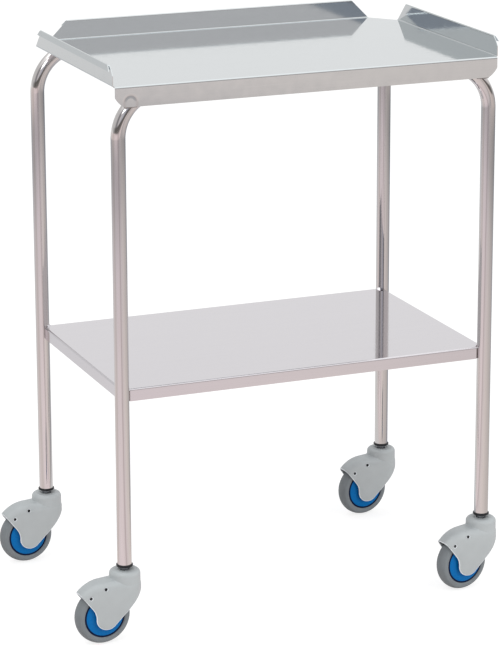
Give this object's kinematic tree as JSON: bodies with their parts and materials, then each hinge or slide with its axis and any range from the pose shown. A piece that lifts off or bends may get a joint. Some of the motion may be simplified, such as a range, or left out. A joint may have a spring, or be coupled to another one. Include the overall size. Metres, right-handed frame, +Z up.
{
  "type": "two-shelf instrument table",
  "caption": "Steel instrument table with a raised-edge top tray, a lower shelf, bent tube legs and hooded swivel castors.",
  "frame": {"origin": "on the floor, below the middle of the whole table's box", "axes": "+Z up, +Y from the open front edge to the raised back edge, +X to the right"},
  "size_m": [0.6828, 0.417, 0.854],
  "materials": {
    "tray_sheet": "bright cold-rolled stainless sheet",
    "shelf_sheet": "bright cold-rolled stainless sheet",
    "frame_tube": "satin brushed stainless tube",
    "collar_plastic": "moulded nylon",
    "sleeve_rubber": "moulded",
    "stem_steel": "zinc plated",
    "fork_steel": "zinc plated pressing",
    "bearing_steel": "ground",
    "hood_plastic": "fine moulded texture",
    "core_plastic": "moulded nylon",
    "guard_plastic": "smooth moulded",
    "tyre_rubber": "non-marking grey rubber"
  },
  "bodies": {
    "table": {"top_tray": "tray_sheet", "lower_shelf": "shelf_sheet", "front_frame_tube": "frame_tube", "rear_frame_tube": "frame_tube", "front_left_collar": "collar_plastic", "front_left_expander": "sleeve_rubber", "front_left_stem": "stem_steel", "front_left_stem_nut": "stem_steel", "front_right_collar": "collar_plastic", "front_right_expander": "sleeve_rubber", "front_right_stem": "stem_steel", "front_right_stem_nut": "stem_steel", "back_left_collar": "collar_plastic", "back_left_expander": "sleeve_rubber", "back_left_stem": "stem_steel", "back_left_stem_nut": "stem_steel", "back_right_collar": "collar_plastic", "back_right_expander": "sleeve_rubber", "back_right_stem": "stem_steel", "back_right_stem_nut": "stem_steel"},
    "front_left_castor": {"front_left_fork": "fork_steel", "front_left_hood": "hood_plastic", "front_left_swivel_bearings": "bearing_steel", "front_left_axle": "stem_steel"},
    "front_left_wheel": {"front_left_wheel_core": "core_plastic", "front_left_tyre": "tyre_rubber", "front_left_thread_guards": "guard_plastic", "front_left_wheel_bearings": "bearing_steel"},
    "front_right_castor": {"front_right_fork": "fork_steel", "front_right_hood": "hood_plastic", "front_right_swivel_bearings": "bearing_steel", "front_right_axle": "stem_steel"},
    "front_right_wheel": {"front_right_wheel_core": "core_plastic", "front_right_tyre": "tyre_rubber", "front_right_thread_guards": "guard_plastic", "front_right_wheel_bearings": "bearing_steel"},
    "back_left_castor": {"back_left_fork": "fork_steel", "back_left_hood": "hood_plastic", "back_left_swivel_bearings": "bearing_steel", "back_left_axle": "stem_steel"},
    "back_left_wheel": {"back_left_wheel_core": "core_plastic", "back_left_tyre": "tyre_rubber", "back_left_thread_guards": "guard_plastic", "back_left_wheel_bearings": "bearing_steel"},
    "back_right_castor": {"back_right_fork": "fork_steel", "back_right_hood": "hood_plastic", "back_right_swivel_bearings": "bearing_steel", "back_right_axle": "stem_steel"},
    "back_right_wheel": {"back_right_wheel_core": "core_plastic", "back_right_tyre": "tyre_rubber", "back_right_thread_guards": "guard_plastic", "back_right_wheel_bearings": "bearing_steel"}
  },
  "joints": [
    {"name": "front_left_swivel", "type": "hinge", "parent": "table", "child": "front_left_castor", "pos_m": [-0.26236, -0.18149, 0.108], "axis": [0, 0, 1], "continuous": true},
    {"name": "front_left_roll", "type": "hinge", "parent": "front_left_castor", "child": "front_left_wheel", "pos_m": [-0.29899, -0.1838, 0.0425], "axis": [-0.0628, 0.998, 0], "continuous": true},
    {"name": "front_right_swivel", "type": "hinge", "parent": "table", "child": "front_right_castor", "pos_m": [0.31764, -0.18149, 0.108], "axis": [0, 0, 1], "continuous": true},
    {"name": "front_right_roll", "type": "hinge", "parent": "front_right_castor", "child": "front_right_wheel", "pos_m": [0.28155, -0.18818, 0.0425], "axis": [-0.1822, 0.9833, 0], "continuous": true},
    {"name": "back_left_swivel", "type": "hinge", "parent": "table", "child": "back_left_castor", "pos_m": [-0.26236, 0.18471, 0.108], "axis": [0, 0, 1], "continuous": true},
    {"name": "back_left_roll", "type": "hinge", "parent": "back_left_castor", "child": "back_left_wheel", "pos_m": [-0.29897, 0.18208, 0.0425], "axis": [-0.0715, 0.9974, 0], "continuous": true},
    {"name": "back_right_swivel", "type": "hinge", "parent": "table", "child": "back_right_castor", "pos_m": [0.31764, 0.18471, 0.108], "axis": [0, 0, 1], "continuous": true},
    {"name": "back_right_roll", "type": "hinge", "parent": "back_right_castor", "child": "back_right_wheel", "pos_m": [0.28125, 0.17992, 0.0425], "axis": [-0.1305, 0.9914, 0], "continuous": true}
  ]
}
